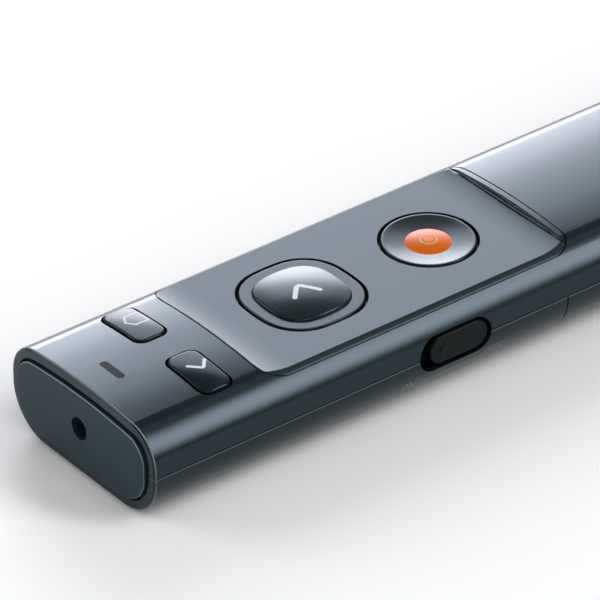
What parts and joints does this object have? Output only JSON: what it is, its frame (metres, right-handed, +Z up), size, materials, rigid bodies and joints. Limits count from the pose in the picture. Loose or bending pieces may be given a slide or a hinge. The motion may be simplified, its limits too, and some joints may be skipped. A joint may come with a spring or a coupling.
{
  "type": "presentation clicker",
  "caption": "Bar-shaped wireless presentation clicker: dished panel with next and laser keys, side power switch, slide-off battery door, receiver stowed in the tail.",
  "frame": {"origin": "on the underside, under the middle of the body", "axes": "+Y from the laser end to the tail, +X to the power switch's side, +Z up out of the keys"},
  "size_m": [0.0286, 0.138, 0.0134],
  "materials": {
    "casing": "satin slate paint",
    "end_cap": "satin slate paint",
    "panel": "satin slate paint",
    "key": "satin dark slate",
    "key_dot": "satin orange",
    "plunger": "moulded",
    "light_guide": "smoked",
    "switch_knob": "moulded, satin",
    "switch_housing": "stamped, tinned",
    "board": "solder mask",
    "screw": "zinc plated",
    "led": "clear moulding",
    "chip": "moulded epoxy",
    "crystal": "can",
    "inductor": "sintered ferrite",
    "laser_barrel": "turned",
    "lens": "polished",
    "diode": "gold plated can",
    "carrier": "moulded",
    "contact": "nickel plated",
    "cell": "plain wrap",
    "receiver_body": "moulded, satin",
    "plug_shell": "nickel plated",
    "plug_tongue": "moulded"
  },
  "bodies": {
    "casing": {"top_cover": "casing", "bottom_cover": "casing", "front_cap": "end_cap", "tail_cap": "end_cap", "control_panel": "panel", "light_guide": "light_guide", "slide_switch": "switch_housing", "circuit_board": "board", "tact_switches": "switch_housing", "board_screws": "screw", "indicator_led": "led", "controller_chip": "chip", "radio_crystal": "crystal", "boost_inductor": "inductor", "laser_barrel": "laser_barrel", "laser_lens": "lens", "laser_diode": "diode", "battery_carrier": "carrier", "positive_contact": "contact", "negative_contact": "contact", "negative_spring": "contact", "battery": "cell"},
    "next_key": {"next_button": "key", "next_plunger": "plunger"},
    "laser_key": {"laser_button": "key", "laser_button_dot": "key_dot", "laser_plunger": "plunger"},
    "previous_key": {"previous_button": "key", "previous_plunger": "plunger"},
    "home_key": {"home_button": "key", "home_plunger": "plunger"},
    "power_switch": {"power_switch_knob": "switch_knob", "slide_switch_lever": "plunger"},
    "battery_door": {"battery_door": "casing"},
    "usb_receiver": {"receiver_body": "receiver_body", "receiver_plug": "plug_shell", "receiver_tongue": "plug_tongue"}
  },
  "joints": [
    {"name": "next_key_press", "type": "slide", "parent": "casing", "child": "next_key", "axis": [0, 0, -1], "range_m": [0, 0.00035], "stiffness_N_per_m": 3000},
    {"name": "laser_key_press", "type": "slide", "parent": "casing", "child": "laser_key", "axis": [0, 0, -1], "range_m": [0, 0.00035], "stiffness_N_per_m": 3000},
    {"name": "previous_key_press", "type": "slide", "parent": "casing", "child": "previous_key", "axis": [0, 0, -1], "range_m": [0, 0.00035], "stiffness_N_per_m": 3000},
    {"name": "home_key_press", "type": "slide", "parent": "casing", "child": "home_key", "axis": [0, 0, -1], "range_m": [0, 0.00035], "stiffness_N_per_m": 3000},
    {"name": "power_switch_slide", "type": "slide", "parent": "casing", "child": "power_switch", "axis": [0, -1, 0], "range_m": [0, 0.0015]},
    {"name": "battery_door_slide", "type": "slide", "parent": "casing", "child": "battery_door", "axis": [0, 1, 0], "range_m": [0, 0.073]},
    {"name": "receiver_slide", "type": "slide", "parent": "casing", "child": "usb_receiver", "axis": [0, 1, 0], "range_m": [0, 0.019]}
  ]
}
